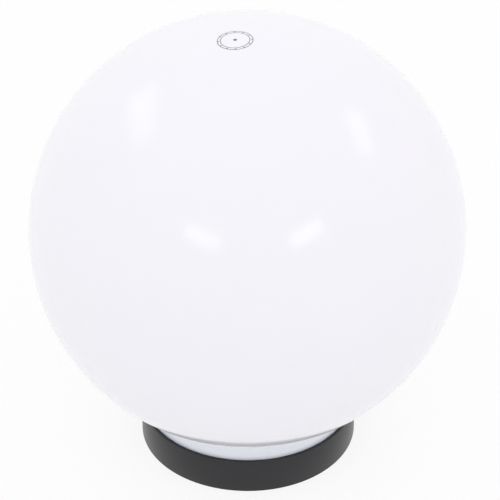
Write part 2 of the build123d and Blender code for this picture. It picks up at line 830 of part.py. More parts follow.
pole_x = [(pole - (block_poles - 1) / 2) * block_pitch for pole in range(block_poles)]
clamp_spots = [(x, block_y + y) for x in pole_x for y in (-block_screw_y, block_screw_y)]

with BuildPart() as terminal_block:
    with BuildSketch(Plane.XY.offset(block_z)):
        with Locations((0, block_y)):
            RectangleRounded(block_len, block_depth, block_round)
    extrude(amount=block_h)
    fillet(terminal_block.edges().group_by(Axis.Z)[-1], block_round)
    with BuildSketch(Plane.XZ.offset(-block_y)):
        with Locations(*[(x, sleeve_z) for x in pole_x]):
            Circle(sleeve_d / 2 + sleeve_gap)
    extrude(amount=block_depth, both=True, mode=Mode.SUBTRACT)
    with Locations(*[(x, y, block_top_z) for x, y in clamp_spots]):
        Hole(block_head_d / 2 + well_gap, depth=block_top_z - sleeve_z)
    with Locations((-fix_screw_x, block_y, block_top_z), (fix_screw_x, block_y, block_top_z)):
        CounterBoreHole(
            fix_screw_d / 2 + fix_screw_gap, fix_head_d / 2 + fix_screw_gap, fix_sink, block_h
        )
terminal_block.part.label = "terminal_block"
export_step(terminal_block.part, "parts/terminal_block.step")

with BuildPart() as terminal_sleeves:
    with BuildSketch(Plane.XZ.offset(-block_y)):
        with Locations(*[(x, sleeve_z) for x in pole_x]):
            Circle(sleeve_d / 2)
            Circle(sleeve_bore_d / 2, mode=Mode.SUBTRACT)
    extrude(amount=block_depth / 2 - sleeve_inset, both=True)
    with Locations(*[(x, y, block_top_z) for x, y in clamp_spots]):
        Hole(block_screw_d / 2 + screw_slack, depth=block_top_z - sleeve_z)
terminal_sleeves.part.label = "terminal_sleeves"
export_step(terminal_sleeves.part, "parts/terminal_sleeves.step")

with BuildPart() as terminal_screws:
    for x, y in clamp_spots:
        place = Plane((x, y, block_head_z))
        add(pan_screw(place, block_screw_d, block_clamp_len, block_head_d, block_head_h))
terminal_screws.part.label = "terminal_screws"
export_step(terminal_screws.part, "parts/terminal_screws.step")

with BuildPart() as terminal_block_screws:
    for x in (-fix_screw_x, fix_screw_x):
        place = Plane((x, block_y, block_top_z - fix_sink))
        add(pan_screw(place, fix_screw_d, fix_screw_len, fix_head_d, fix_head_h))
terminal_block_screws.part.label = "terminal_block_screws"
export_step(terminal_block_screws.part, "parts/terminal_block_screws.step")

# ---------------------------------------------------------------------------
# Earth screw and leads
# ---------------------------------------------------------------------------

ring_z = bridge_top + washer_t
barrel_z = ring_z + barrel_d / 2

with BuildPart() as earth_washer:
    with BuildSketch(Plane.XY.offset(bridge_top)):
        with Locations((earth_x, 0)):
            Circle(washer_d / 2)
            Circle(earth_screw_d / 2 + washer_gap, mode=Mode.SUBTRACT)
    extrude(amount=washer_t)
earth_washer.part.label = "earth_washer"
export_step(earth_washer.part, "parts/earth_washer.step")

with BuildPart() as earth_ring:
    with BuildSketch(Plane.XY.offset(ring_z)):
        with Locations((earth_x, 0)):
            Circle(ring_d / 2)
            Rectangle(barrel_d, barrel_stand + ring_t, align=(Align.CENTER, Align.MAX))
            Circle(earth_screw_d / 2 + washer_gap, mode=Mode.SUBTRACT)
    extrude(amount=ring_t)
    with BuildSketch(Plane((earth_x, -barrel_stand, barrel_z), z_dir=(0, -1, 0))):
        Circle(barrel_d / 2)
        Circle(lead_d / 2 + barrel_gap, mode=Mode.SUBTRACT)
    extrude(amount=barrel_len)
earth_ring.part.label = "earth_ring"
export_step(earth_ring.part, "parts/earth_ring.step")

with BuildPart() as earth_screw:
    place = Plane((earth_x, 0, ring_z + ring_t))
    add(pan_screw(place, earth_screw_d, earth_screw_len, earth_head_d, earth_head_h))
earth_screw.part.label = "earth_screw"
export_step(earth_screw.part, "parts/earth_screw.step")

lead_start_y = block_front_y + lead_in
lead_end_z = terminal_z - lead_gap
lead_end_y = -barrel_stand - barrel_len + lead_in

live_points = [
    (pole_x[0], lead_start_y, sleeve_z),
    (-10.8, 20.4, 10.4),
    (-terminal_x, terminal_y, 16.8),
    (-terminal_x, terminal_y, lead_end_z),
]
neutral_points = [
    (pole_x[1], lead_start_y, sleeve_z),
    (0.6, 21.2, 10.2),
    (terminal_x, terminal_y, 16.6),
    (terminal_x, terminal_y, lead_end_z),
]
earth_points = [
    (pole_x[2], lead_start_y, sleeve_z),
    (12.2, 19.0, 10.9),
    (19.4, 6.5, 11.6),
    (26.2, -6.0, 12.0),
    (27.2, -18.0, 12.5),
    (27.6, -23.0, 19.0),
    (earth_x, -19.4, barrel_z),
    (earth_x, lead_end_y, barrel_z),
]

with BuildPart() as live_lead:
    add(lead(live_points))
live_lead.part.label = "live_lead"
export_step(live_lead.part, "parts/live_lead.step")

with BuildPart() as neutral_lead:
    add(lead(neutral_points))
neutral_lead.part.label = "neutral_lead"
export_step(neutral_lead.part, "parts/neutral_lead.step")

with BuildPart() as earth_lead:
    add(lead(earth_points))
earth_lead.part.label = "earth_lead"
export_step(earth_lead.part, "parts/earth_lead.step")

with BuildPart() as bare_conductors:
    for points in (live_points, neutral_points, earth_points):
        add(bare_end(points[0], (0, 1, 0)))
    for points in (live_points, neutral_points):
        add(bare_end(points[-1], (0, 0, 1)))
    add(bare_end(earth_points[-1], (0, 1, 0)))
bare_conductors.part.label = "bare_conductors"
export_step(bare_conductors.part, "parts/bare_conductors.step")

# ---------------------------------------------------------------------------
# Bulb
# ---------------------------------------------------------------------------

with BuildPart() as bulb_contact:
    with BuildSketch(Plane.XY.offset(bulb_z)):
        Circle(tip_d / 2)
    extrude(amount=tip_h)
    fillet(bulb_contact.edges().group_by(Axis.Z)[0], tip_round)
bulb_contact.part.label = "bulb_contact"
export_step(bulb_contact.part, "parts/bulb_contact.step")

with BuildPart() as bulb_cap_insulator:
    lip_in = cap_lip_d / 2 - insulator_gap
    bore_in = cap_bore_r - insulator_gap
    cover = cap_wall + insulator_gap
    with BuildSketch(Plane.XZ):
        with BuildLine():
            Polyline(
                (0, bulb_z + tip_h),
                (insulator_foot_d / 2, bulb_z + tip_h),
                (lip_in, cap_lip_z),
                (lip_in, cap_lip_z + cover),
                (bore_in, cap_edge_z + cover),
                (bore_in, cap_edge_z + cover + insulator_top_h),
                (0, cap_edge_z + cover + insulator_top_h),
                close=True,
            )
        make_face()
    revolve(axis=Axis.Z)
bulb_cap_insulator.part.label = "bulb_cap_insulator"
export_step(bulb_cap_insulator.part, "parts/bulb_cap_insulator.step")

with BuildPart() as bulb_cap:
    # Solid outside first, with its rolled rib, then the hollow and the rib's inner side
    with BuildSketch(Plane.XZ):
        with BuildLine():
            Polyline(
                (0, cap_lip_z),
                (cap_lip_d / 2, cap_lip_z),
                (cap_r, cap_edge_z),
                (cap_r, cap_top_z),
                (0, cap_top_z),
                close=True,
            )
        make_face()
    revolve(axis=Axis.Z)
    add(thread_cord(cap_rib, 0, rib_turns))
    with BuildSketch(Plane.XZ):
        with BuildLine():
            Polyline(
                (0, cap_lip_z),
                (cap_lip_d / 2, cap_lip_z),
                (cap_lip_d / 2, cap_lip_z + cap_wall),
                (cap_bore_r, cap_edge_z + cap_wall),
                (cap_bore_r, cap_top_z),
                (0, cap_top_z),
                close=True,
            )
        make_face()
    revolve(axis=Axis.Z, mode=Mode.SUBTRACT)
    add(thread_cord(cap_rib - cap_wall, rib_cover, rib_turns - 2 * rib_cover), mode=Mode.SUBTRACT)
bulb_cap.part.label = "bulb_cap"
export_step(bulb_cap.part, "parts/bulb_cap.step")

with BuildPart() as bulb_housing:
    inner_neck_r = housing_neck_r - housing_wall
    with BuildSketch(Plane.XZ) as section:
        with BuildLine():
            Polyline(
                (plug_r - housing_wall, plug_z),
                (plug_r, plug_z),
                (plug_r, shoulder_z),
                (housing_neck_r, shoulder_z),
                (housing_neck_r, cone_z),
                (seam_r, seam_z),
                (seam_r - housing_wall, seam_z),
                (board_r + board_gap, board_z),
                (board_r - board_seat, board_z),
                (inner_neck_r, cone_z),
                (inner_neck_r, shoulder_z + housing_wall),
                (plug_r - housing_wall, shoulder_z + housing_wall),
                close=True,
            )
        make_face()
        fillet(section.vertices().sort_by_distance((housing_neck_r, cone_z))[0], housing_fillet)
        fillet(section.vertices().sort_by_distance((inner_neck_r, cone_z))[0], housing_fillet)
        shoulder = section.vertices().sort_by_distance((housing_neck_r, shoulder_z))[0]
        fillet(shoulder, shoulder_round)
    revolve(axis=Axis.Z)
bulb_housing.part.label = "bulb_housing"
export_step(bulb_housing.part, "parts/bulb_housing.step")

with BuildPart() as bulb_dome:
    with BuildSketch(Plane.XZ):
        with Locations((0, bulb_mid_z)):
            Circle(bulb_r)
            Circle(bulb_r - dome_wall, mode=Mode.SUBTRACT)
        with Locations((0, seam_z)):
            Rectangle(bulb_d, bulb_d, align=(Align.MIN, Align.MIN), mode=Mode.INTERSECT)
    revolve(axis=Axis.Z)
bulb_dome.part.label = "bulb_dome"
export_step(bulb_dome.part, "parts/bulb_dome.step")

with BuildPart() as led_board:
    with BuildSketch(Plane.XY.offset(board_z)):
        Circle(board_r)
    extrude(amount=board_t)
led_board.part.label = "led_board"
export_step(led_board.part, "parts/led_board.step")

with BuildPart() as led_chips:
    with BuildSketch(Plane.XY.offset(board_z + board_t)):
        with PolarLocations(chip_ring_d / 2, chip_ring_count):
            Rectangle(chip_side, chip_side)
        with PolarLocations(chip_inner_d / 2, chip_inner_count):
            Rectangle(chip_side, chip_side)
    extrude(amount=chip_h)
led_chips.part.label = "led_chips"
export_step(led_chips.part, "parts/led_chips.step")

with BuildPart() as driver_board:
    with BuildSketch(Plane.XZ):
        with Locations((0, plug_z)):
            height = driver_top_z - plug_z
            Rectangle(2 * driver_half, height, align=(Align.CENTER, Align.MIN))
    extrude(amount=driver_t / 2, both=True)
driver_board.part.label = "driver_board"
export_step(driver_board.part, "parts/driver_board.step")

with BuildPart() as driver_parts:
    parts_z = shoulder_z + housing_wall + part_space
    face = driver_t / 2
    with Locations((0, face + capacitor_d / 2, parts_z)):
        Cylinder(capacitor_d / 2, capacitor_h, align=(Align.CENTER, Align.CENTER, Align.MIN))
    with Locations((0, -face, parts_z)):
        Box(coil_side, coil_side, coil_h, align=(Align.CENTER, Align.MAX, Align.MIN))
    resistor_z = parts_z + capacitor_h + part_space
    for x in (-coil_side / 2, coil_side / 2):
        with Locations((x, face + resistor_d / 2, resistor_z)):
            Cylinder(resistor_d / 2, resistor_len, align=(Align.CENTER, Align.CENTER, Align.MIN))
driver_parts.part.label = "driver_parts"
export_step(driver_parts.part, "parts/driver_parts.step")
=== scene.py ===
"""Garden globe light: an opal globe on a black base cup, with its lampholder and bulb.

Lengths are in millimetres, and MM turns them to metres; only how far the lamps hang, the
floor reaches and the camera sees is given in metres. The front is at -Y, the globe's axis
is Z and the base stands on Z = 0.
"""

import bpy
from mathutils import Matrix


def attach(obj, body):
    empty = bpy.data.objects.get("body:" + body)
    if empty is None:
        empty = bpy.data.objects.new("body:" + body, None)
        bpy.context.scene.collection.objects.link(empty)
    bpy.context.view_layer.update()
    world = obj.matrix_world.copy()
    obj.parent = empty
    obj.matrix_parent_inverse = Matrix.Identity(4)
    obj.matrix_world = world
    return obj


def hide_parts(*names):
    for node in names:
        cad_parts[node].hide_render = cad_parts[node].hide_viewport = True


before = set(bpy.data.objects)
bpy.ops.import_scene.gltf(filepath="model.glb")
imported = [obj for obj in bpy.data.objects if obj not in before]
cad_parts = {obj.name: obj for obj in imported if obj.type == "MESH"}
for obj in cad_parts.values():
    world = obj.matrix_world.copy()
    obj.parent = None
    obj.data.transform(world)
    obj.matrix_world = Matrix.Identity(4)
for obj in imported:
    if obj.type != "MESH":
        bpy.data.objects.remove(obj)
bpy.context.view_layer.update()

import logging
import math
from dataclasses import dataclass, field
from enum import Enum

import bmesh
import bpy
from mathutils import Matrix, Vector

MM = 0.001
# Height of the globe's centre, which the lamps and the camera are aimed by too.
GLOBE_CENTRE = 168.804
FULL_TURN = 360.0
# Metres within which vertices are merged.
WELD = 1e-7
# Straight pieces in a rounded corner.
ROUND_SEGMENTS = 4
# Edges sharper than this many degrees stay sharp.
CREASE = 32.0
# Sockets of the Mix node that carry its two colours and their blend.
MIX_FIRST, MIX_SECOND, MIX_RESULT = 6, 7, 2
# Metres between the bands of a Wave texture whose scale is 1.
WAVE_PERIOD = math.pi / 10

log = logging.getLogger("globe_light")

Colour = tuple[float, float, float, float]
Point = tuple[float, float]


class Body(Enum):
    """The bodies that the pieces ride on."""

    BASE = "base"
    SEAT = "globe_seat"
    GLOBE = "globe"
    TIP = "bulb_tip"
    BULB = "bulb"


class Combine(Enum):
    """How one solid is combined with another."""

    JOIN = "UNION"
    CUT = "DIFFERENCE"


# ---------------------------------------------------------------------------
# Colours and nodes
# ---------------------------------------------------------------------------


def linear(code: str) -> Colour:
    """Turns an sRGB hex code into a linear colour.

    Args:
        code: Six hex digits, with or without a leading #.

    Returns:
        Red, green, blue and a full alpha.
    """
    parts = [int(code.lstrip("#")[i:i + 2], 16) / 255 for i in (0, 2, 4)]
    red, green, blue = (
        c / 12.92 if c <= 0.04045 else ((c + 0.055) / 1.055) ** 2.4 for c in parts
    )
    return red, green, blue, 1.0


def add_node(
    tree: bpy.types.NodeTree,
    kind: str,
    values: dict[str | int, object] | None = None,
    links: dict[str | int, bpy.types.NodeSocket] | None = None,
    **settings: object,
) -> bpy.types.Node:
    """Adds one node with its settings, its socket values and its incoming links.

    Args:
        tree: The node tree that takes it.
        kind: The node's type name.
        values: Socket name or number to value.
        links: Socket name or number to the socket that feeds it.
        **settings: The node's own properties.

    Returns:
        The new node.
    """
    node = tree.nodes.new(kind)
    for name, value in settings.items():
        setattr(node, name, value)
    for name, value in (values or {}).items():
        node.inputs[name].default_value = value
    for name, socket in (links or {}).items():
        tree.links.new(socket, node.inputs[name])
    return node


def per_metre(size: float) -> float:
    """Scale of a pattern whose features are `size` millimetres across."""
    return 1 / (size * MM)


# ---------------------------------------------------------------------------
# Finishes
# ---------------------------------------------------------------------------


@dataclass(frozen=True)
class Finish:
    """A moulded, plated or glazed surface: its colour, the patches in it and its grain."""

    name: str
    slot: str
    colour: str
    patch_colour: str
    roughness: float
    roughness_spread: float = 0.05
    patch: float = 18.0
    grain: float = 0.6
    grain_depth: float = 0.01
    stretch: tuple[float, float, float] = (1.0, 1.0, 1.0)
    metallic: float = 0.0
    ior: float = 1.5
    coat: float = 0.0
    glow: float = 0.0
    glow_depth: float = 1.5
    glow_reach: tuple[float, float, float] = (1.0, 0.9, 0.85)
    coat_roughness: float = 0.05
    least_roughness: float = 0.02
    patch_detail: float = 3.0
    patch_break: float = 0.55
    grain_detail: float = 2.0
    grain_break: float = 0.5

    def material(self) -> bpy.types.Material:
        """Builds the material once and hands out the same one afterwards.

        Returns:
            The node material of this finish.
        """
        found = bpy.data.materials.get(self.name)
        if found:
            return found
        made = bpy.data.materials.new(self.name)
        made.use_nodes = True
        tree = made.node_tree
        tree.nodes.clear()
        coords = add_node(tree, "ShaderNodeTexCoord")
        shader = add_node(tree, "ShaderNodeBsdfPrincipled", {
            "Metallic": self.metallic, "Coat Weight": self.coat,
            "Coat Roughness": self.coat_roughness, "Subsurface Weight": self.glow,
            "Subsurface Scale": self.glow_depth * MM, "Subsurface Radius": self.glow_reach,
        })
        if not self.metallic:
            shader.inputs["IOR"].default_value = self.ior
        add_node(tree, "ShaderNodeOutputMaterial", links={"Surface": shader.outputs[0]})
        tree.links.new(self.colour_of(tree, coords), shader.inputs["Base Color"])
        height = self.grain_of(tree, coords)
        rough = add_node(tree, "ShaderNodeMapRange", {
            "To Min": max(self.least_roughness, self.roughness - self.roughness_spread),
            "To Max": self.roughness + self.roughness_spread,
        }, {"Value": height})
        tree.links.new(rough.outputs[0], shader.inputs["Roughness"])
        bump = add_node(tree, "ShaderNodeBump", {"Distance": self.grain_depth * MM},
                        {"Height": height})
        tree.links.new(bump.outputs[0], shader.inputs["Normal"])
        return made

    def blended(
        self, tree: bpy.types.NodeTree, share: bpy.types.NodeSocket
    ) -> bpy.types.NodeSocket:
        """The first colour where the share is 0 and the second where it is 1.

        Args:
            tree: The material's nodes.
            share: The socket that carries the share.

        Returns:
            The socket that carries the colour.
        """
        blend = add_node(
            tree, "ShaderNodeMix",
            {MIX_FIRST: linear(self.colour), MIX_SECOND: linear(self.patch_colour)},
            {0: share}, data_type="RGBA")
        return blend.outputs[MIX_RESULT]

    def colour_of(
        self, tree: bpy.types.NodeTree, coords: bpy.types.Node
    ) -> bpy.types.NodeSocket:
        """Soft patches of a second colour in the first.

        Args:
            tree: The material's nodes.
            coords: Its Texture Coordinate node.

        Returns:
            The socket that carries the colour.
        """
        cloud = add_node(tree, "ShaderNodeTexNoise", {
            "Scale": per_metre(self.patch), "Detail": self.patch_detail,
            "Roughness": self.patch_break,
        }, {"Vector": coords.outputs["Object"]})
        return self.blended(tree, cloud.outputs[0])

    def grain_of(
        self, tree: bpy.types.NodeTree, coords: bpy.types.Node
    ) -> bpy.types.NodeSocket:
        """The height of the fine grain, stretched along the way the surface was worked.

        Args:
            tree: The material's nodes.
            coords: Its Texture Coordinate node.

        Returns:
            The socket that carries the height.
        """
        place = add_node(tree, "ShaderNodeMapping", {"Scale": self.stretch},
                         {"Vector": coords.outputs["Object"]})
        grain = add_node(tree, "ShaderNodeTexNoise", {
            "Scale": per_metre(self.grain), "Detail": self.grain_detail,
            "Roughness": self.grain_break,
        }, {"Vector": place.outputs[0]})
        return grain.outputs[0]


@dataclass(frozen=True)
class BlownAcrylic(Finish):
    """Blow-moulded acrylic, with painted shade on its neck: a darker, bluer colour there stands
    in for the shadow under the globe and the reflections of the dark base.
    """

    # Painted shade: this darker, bluer neck colour, fading in below the given height, stands in
    # for the shadow under the globe and its reflections.
    neck_shade_colour: str = "#EFF2FB"
    neck_shade_top: float = 46.0
    neck_shade_fade: float = 12.0

    def colour_of(
        self, tree: bpy.types.NodeTree, coords: bpy.types.Node
    ) -> bpy.types.NodeSocket:
        """The body's patches, with the neck's painted shade from its top down, as a socket."""
        parts = add_node(tree, "ShaderNodeSeparateXYZ", links={0: coords.outputs["Object"]})
        # Share of the painted neck shade: none at the neck's top, full the fade's length below
        # it.
        depth = add_node(tree, "ShaderNodeMapRange",
                         {"From Min": self.neck_shade_top * MM,
                          "From Max": (self.neck_shade_top - self.neck_shade_fade) * MM},
                         {"Value": parts.outputs["Z"]})
        blend = add_node(
            tree, "ShaderNodeMix", {MIX_SECOND: linear(self.neck_shade_colour)},
            {0: depth.outputs[0], MIX_FIRST: super().colour_of(tree, coords)},
            data_type="RGBA")
        return blend.outputs[MIX_RESULT]


@dataclass(frozen=True)
class CellularFoam(Finish):
    """Closed-cell foam, whose cut cells show as small round pits."""

    def grain_of(
        self, tree: bpy.types.NodeTree, coords: bpy.types.Node
    ) -> bpy.types.NodeSocket:
        """The height over the cut cells, as a socket."""
        cells = add_node(tree, "ShaderNodeTexVoronoi", {"Scale": per_metre(self.grain)},
                         {"Vector": coords.outputs["Object"]}, feature="SMOOTH_F1")
        return cells.outputs["Distance"]


@dataclass(frozen=True)
class StripedInsulation(Finish):
    """Lead insulation with a stripe of its second colour along its upper side."""

    stripe_edge: float = 0.35
    stripe_blur: float = 0.05

    def colour_of(
        self, tree: bpy.types.NodeTree, coords: bpy.types.Node
    ) -> bpy.types.NodeSocket:
        """The stripe where the lead's surface faces up, as a socket."""
        parts = add_node(tree, "ShaderNodeSeparateXYZ", links={0: coords.outputs["Normal"]})
        edge = add_node(tree, "ShaderNodeMapRange", {
            "From Min": self.stripe_edge - self.stripe_blur,
            "From Max": self.stripe_edge + self.stripe_blur,
        }, {"Value": parts.outputs["Z"]})
        return self.blended(tree, edge.outputs[0])


@dataclass(frozen=True)
class GlassCloth(Finish):
    """Circuit board, whose glass cloth shows as a fine square weave under the lacquer."""

    def grain_of(
        self, tree: bpy.types.NodeTree, coords: bpy.types.Node
    ) -> bpy.types.NodeSocket:
        """The height of the crossed threads, as a socket."""
        threads = [
            add_node(tree, "ShaderNodeTexWave",
                     {"Scale": per_metre(self.grain) * WAVE_PERIOD},
                     {"Vector": coords.outputs["Object"]}, bands_direction=way).outputs["Fac"]
            for way in ("X", "Z")
        ]
        cloth = add_node(tree, "ShaderNodeMath", links=dict(enumerate(threads)),
                         operation="MULTIPLY")
        return cloth.outputs[0]


# Opal acrylic, blow-moulded: near white with a trace of lavender, a soft skin gloss and
# long faint waves where the wall is thicker or thinner. The neck is painted darker and
# bluer, as painted shade standing in for the shadow under the globe and its reflections.
OPAL = BlownAcrylic("opal_acrylic", "opal", "#F8F6FC", "#F5F3FA", 0.14, 0.02, patch=90.0,
                    grain=55.0, grain_depth=0.05, ior=1.49, glow=0.15, glow_depth=6.0)
# ABS, moulded in a spark-eroded tool: satin black, its fine grain drawn 0.7 mm across so
# that highlights spread without looking dusty.
MOULDED_BLACK = Finish("moulded_abs_black", "black_plastic", "#100F14", "#131218", 0.36, 0.06,
                       patch=30.0, grain=0.7, grain_depth=0.012, ior=1.51)
# Silicone sheet, die-cut: milky and a little translucent, matt on its faces.
SILICONE = Finish("silicone_rubber", "silicone", "#D3D3CD", "#C9C9C2", 0.48, 0.06,
                  patch=12.0, grain=0.8, grain_depth=0.01, ior=1.41, glow=0.4, glow_depth=3.0)
# EPDM foam tape: charcoal, dead matt, with cut cells about 0.9 mm across.
FOAM = CellularFoam("epdm_foam", "foam", "#1F1F20", "#29292A", 0.9, 0.06,
                    patch=6.0, grain=0.9, grain_depth=0.15)
# EPDM rubber, compression-moulded: matt black with a dry bloom in patches.
RUBBER = Finish("epdm_rubber", "grommet_rubber", "#161616", "#232323", 0.62, 0.08,
                patch=5.0, grain=0.5, grain_depth=0.02, ior=1.52)
# Zinc plating on pressed steel: cool bright grey with fine rolling lines along X.
ZINC = Finish("zinc_plated_steel", "zinc", "#B4B8BD", "#A6ABB2", 0.3, 0.08, patch=9.0,
              grain=0.35, grain_depth=0.006, stretch=(0.06, 1.0, 1.0), metallic=1.0)
# Glazed electrical porcelain: warm white under a thick glossy glaze that pools slightly.
PORCELAIN = Finish("glazed_porcelain", "porcelain", "#E9E5DA", "#F0EDE4", 0.1, 0.03,
                   patch=8.0, grain=5.0, grain_depth=0.06, ior=1.53, coat=0.5)
# Brass sheet, bright: yellow with slight brown patches from handling.
BRASS = Finish("rolled_brass", "nickel_brass", "#D3B678", "#C4A05F", 0.24, 0.07, patch=6.0,
               grain=0.4, grain_depth=0.006, stretch=(1.0, 1.0, 0.1), metallic=1.0)
# Bare copper strands: pink-orange, uneven enough that the light breaks on them.
COPPER = Finish("bare_copper", "copper", "#D08A63", "#B87250", 0.28, 0.06, patch=3.0,
                grain=0.25, grain_depth=0.03, metallic=1.0)
# Phosphor bronze spring leaf: redder and duller than brass, with rolling marks.
BRONZE = Finish("phosphor_bronze", "bronze", "#BF8C58", "#A97545", 0.32, 0.06, patch=4.0,
                grain=0.3, grain_depth=0.006, metallic=1.0)
# Polyamide, injection-moulded: off-white, slightly waxy.
NYLON = Finish("moulded_nylon", "white_nylon", "#DDDCD4", "#E4E3DC", 0.42, 0.06, patch=7.0,
               grain=0.6, grain_depth=0.012, ior=1.53, glow=0.15)
# PVC insulation in the three wiring colours: satin, with faint drawing lines.
BROWN_PVC = Finish("pvc_brown", "brown_sleeve", "#5B3722", "#4F2F1D", 0.38, patch=4.0,
                   grain=0.4, grain_depth=0.01, ior=1.53)
BLUE_PVC = Finish("pvc_blue", "blue_sleeve", "#2B5FA3", "#265694", 0.38, patch=4.0,
                  grain=0.4, grain_depth=0.01, ior=1.53)
EARTH_PVC = StripedInsulation("pvc_green_yellow", "earth_sleeve", "#4A8B36", "#DDC52B", 0.38,
                              grain=0.4, grain_depth=0.01, ior=1.53)
# Polycarbonate bulb housing: smooth cool white with a low gloss.
BULB_WHITE = Finish("polycarbonate_white", "bulb_white", "#E6E6E4", "#EAEAE8", 0.3, 0.04,
                    patch=14.0, grain=0.8, grain_depth=0.006, ior=1.58)
# Frosted polycarbonate dome: milky, almost matt, light creeps under its skin.
BULB_FROST = Finish("frosted_polycarbonate", "bulb_frost", "#EEEEEA", "#F1F1EE", 0.5, 0.05,
                    patch=20.0, grain=0.5, grain_depth=0.01, ior=1.58, glow=0.35,
                    glow_depth=2.0)
# Nickel plating on the rolled cap: bright, faintly warm, softly scuffed by threading.
NICKEL = Finish("nickel_plate", "cap_metal", "#C8C6C0", "#BDBAB2", 0.2, 0.07, patch=4.0,
                grain=0.4, grain_depth=0.006, stretch=(0.15, 0.15, 1.0), metallic=1.0)
# Vitrified black glass between cap and contact: deep, glossy, slightly uneven.
BLACK_GLASS = Finish("black_glass", "black_glass", "#0D0D10", "#131317", 0.08, 0.03,
                     patch=3.0, grain=2.0, grain_depth=0.04, ior=1.52)
# Aluminium board under white lacquer: flat white with a fine orange peel.
BOARD_WHITE = Finish("lacquered_aluminium", "board_metal", "#E3E4E0", "#DBDCD8", 0.35, 0.05,
                     patch=6.0, grain=0.5, grain_depth=0.01)
# Phosphor gel over each LED: egg-yolk yellow, granular and matt.
PHOSPHOR = Finish("led_phosphor", "phosphor", "#E3BF3A", "#D9AF2C", 0.55, 0.08, patch=0.9,
                  grain=0.25, grain_depth=0.02, glow=0.2)
# Glass-fibre board under green lacquer, its cloth just visible.
BOARD_GREEN = GlassCloth("glass_fibre_board", "board_green", "#1E5E36", "#257042", 0.34,
                         patch=5.0, grain=0.8, grain_depth=0.01, ior=1.55)
# Epoxy-moulded and sleeved electronic parts: dark and even, slightly glossy.
COMPONENT = Finish("epoxy_component", "component", "#1A1A1E", "#232329", 0.3, 0.05,
                   patch=4.0, grain=0.5, grain_depth=0.01, ior=1.55)
# Pad-printed grey ink on the globe's crown: thin, matt, slightly uneven in density.
INK = Finish("printed_grey_ink", "opal", "#5C5D62", "#6C6D72", 0.5, 0.05, patch=2.0,
             grain=0.3, grain_depth=0.003)


# ---------------------------------------------------------------------------
# Modelling
# ---------------------------------------------------------------------------


class Section:
    """A half section that a moving point draws in the XZ plane, and that is then turned."""

    def __init__(self, radius: float, height: float) -> None:
        """Starts the line at a radius and a height, in millimetres."""
        self.bm = bmesh.new()
        self.first = self.bm.verts.new((radius * MM, 0, height * MM))
        self.tip = self.first
        self.rounds: list[tuple[bmesh.types.BMVert, float]] = []

    def line(self, radius: float, height: float, rounding: float = 0.0) -> "Section":
        """Draws a straight line to a corner.

        Args:
            radius: The corner's distance from the axis.
            height: Its height.
            rounding: How far back the corner is rounded off along both of its lines.

        Returns:
            This section, so that the next line can follow.
        """
        made = bmesh.ops.extrude_vert_indiv(self.bm, verts=[self.tip])
        self.tip = made["verts"][0]
        self.tip.co = (radius * MM, 0, height * MM)
        if rounding:
            self.rounds.append((self.tip, rounding))
        return self

    def arc(self, radius: float, height: float, degrees: float, steps: int) -> "Section":
        """Draws an arc by turning the point about a centre.

        Args:
            radius: The centre's distance from the axis.
            height: Its height.
            degrees: The turn, positive from +Z towards +X.
            steps: How many straight pieces make the arc.

        Returns:
            This section.
        """
        made = bmesh.ops.spin(self.bm, geom=[self.tip], cent=(radius * MM, 0, height * MM),
                              axis=(0, 1, 0), angle=math.radians(degrees), steps=steps)
        self.tip = next(v for v in made["geom_last"] if isinstance(v, bmesh.types.BMVert))
        return self

    def turned(
        self, steps: int, degrees: float = FULL_TURN, closed: bool = False
    ) -> bmesh.types.BMesh:
        """Rounds the marked corners and turns the section about the Z axis.

        Args:
            steps: How many steps the turn has.
            degrees: How far it goes.
            closed: Whether the line's end joins its start.

        Returns:
            The turned solid.
        """
        bm = self.bm
        if closed:
            bm.edges.new((self.tip, self.first))
        for corner, back in self.rounds:
            bmesh.ops.bevel(bm, geom=[corner], offset=back * MM, offset_type="OFFSET",
                            segments=ROUND_SEGMENTS, profile=0.5, affect="VERTICES",
                            material=-1)
        whole = degrees == FULL_TURN
        if not whole:
            bmesh.ops.contextual_create(bm, geom=bm.edges[:])
        bmesh.ops.spin(bm, geom=bm.verts[:] + bm.edges[:] + bm.faces[:], cent=(0, 0, 0),
                       axis=(0, 0, 1), angle=math.radians(degrees), steps=steps,
                       use_merge=whole)
        bmesh.ops.remove_doubles(bm, verts=bm.verts[:], dist=WELD)
        bmesh.ops.recalc_face_normals(bm, faces=bm.faces[:])
        return bm


def ring(inner: float, outer: float, low: float, high: float, steps: int,
         start: float = 0.0, degrees: float = FULL_TURN) -> bmesh.types.BMesh:
    """A square-edged ring, or a sector of one.

    Args:
        inner: Inner radius.
        outer: Outer radius.
        low: Height of its underside.
        high: Height of its top.
        steps: Steps of the turn.
        start: Where the sector starts, in degrees from +X.
        degrees: How far it reaches.

    Returns:
        The solid.
    """
    section = Section(inner, low).line(outer, low).line(outer, high).line(inner, high)
    bm = section.turned(steps, degrees, closed=True)
    bmesh.ops.rotate(bm, verts=bm.verts[:], cent=(0, 0, 0),
                     matrix=Matrix.Rotation(math.radians(start), 3, "Z"))
    return bm


def post(x: float, y: float, radius: float, low: float, high: float,
         segments: int = 48) -> bmesh.types.BMesh:
    """An upright round post.

    Args:
        x: Its place along X.
        y: Its place along Y.
        radius: Its radius.
        low: Height of its foot.
        high: Height of its top.
        segments: Sides of the circle.

    Returns:
        The solid.
    """
    bm = bmesh.new()
    place = Matrix.Translation((x * MM, y * MM, (low + high) / 2 * MM))
    bmesh.ops.create_cone(bm, cap_ends=True, segments=segments, radius1=radius * MM,
                          radius2=radius * MM, depth=(high - low) * MM, matrix=place)
    return bm


def gathered(parts: list[bmesh.types.BMesh]) -> bmesh.types.BMesh:
    """Puts several solids into the first one, and frees the others.

    Args:
        parts: The solids.

    Returns:
        The first, with all the rest in it.
    """
    whole = parts[0]
    for part in parts[1:]:
        carrier = bpy.data.meshes.new("carrier")
        part.to_mesh(carrier)
        part.free()
        whole.from_mesh(carrier)
        bpy.data.meshes.remove(carrier)
    return whole


